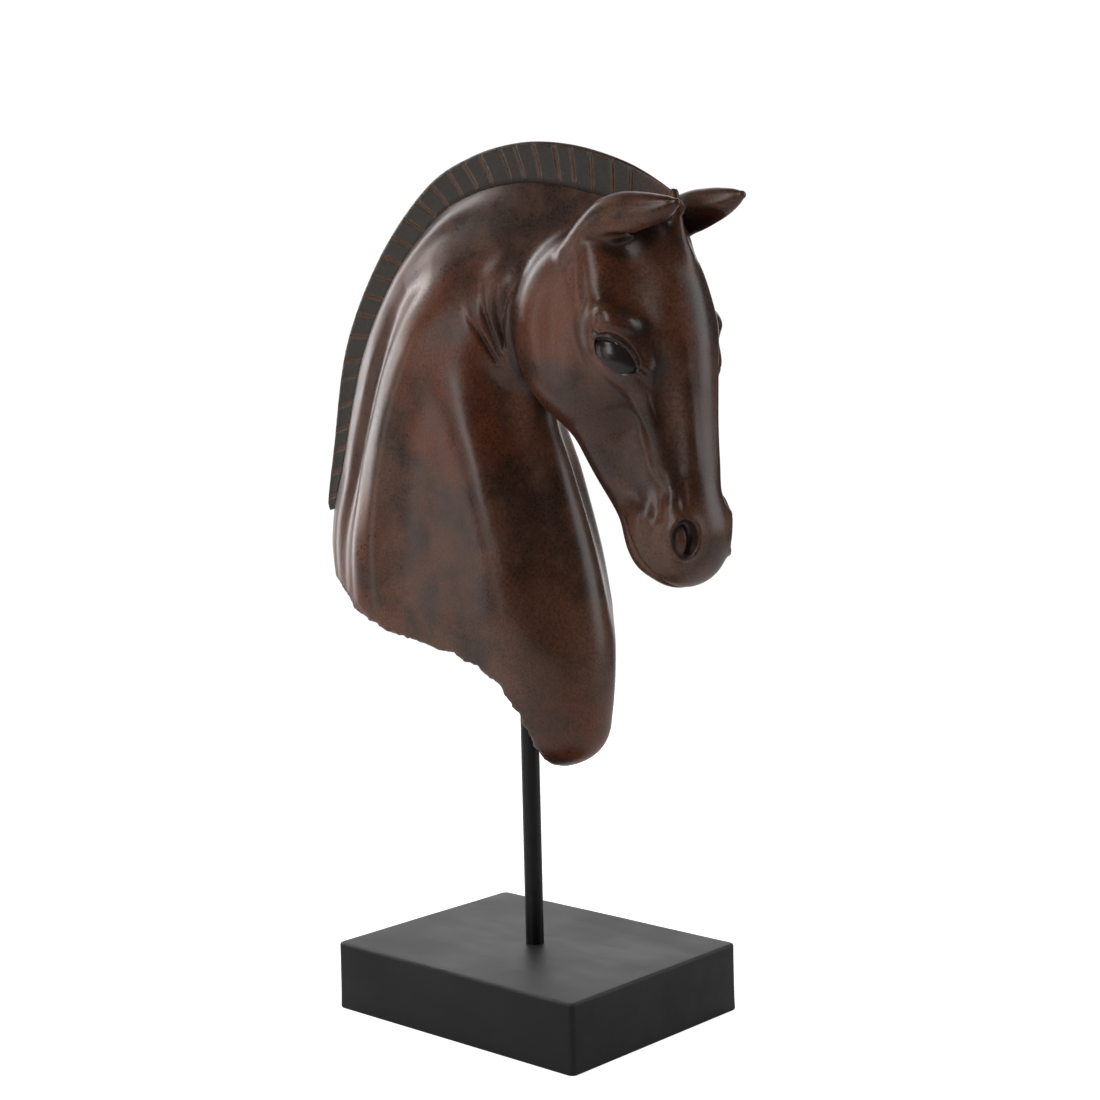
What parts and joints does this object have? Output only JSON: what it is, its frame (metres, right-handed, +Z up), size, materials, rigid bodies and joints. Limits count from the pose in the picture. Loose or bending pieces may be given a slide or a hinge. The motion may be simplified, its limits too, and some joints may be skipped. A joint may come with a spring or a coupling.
{
  "type": "horse head sculpture",
  "caption": "Horse head and arched neck, a hollow cast with its lower neck broken off, carried by an upright rod in a low rectangular block.",
  "frame": {"origin": "centre of the block's underside", "axes": "+Z up along the rod, +X the way the horse looks, +Y the horse's left"},
  "size_m": [0.2903, 0.135, 0.471],
  "materials": {
    "dark_resin": "satin, mottled dark brown with grey-green and gold-brown wash in the mane's grooves",
    "black_paint": "satin black",
    "black_block": "matt black paint, brushed"
  },
  "bodies": {
    "root": {"horse_head": "dark_resin", "support_rod": "black_paint", "base_block": "black_block"}
  },
  "joints": []
}
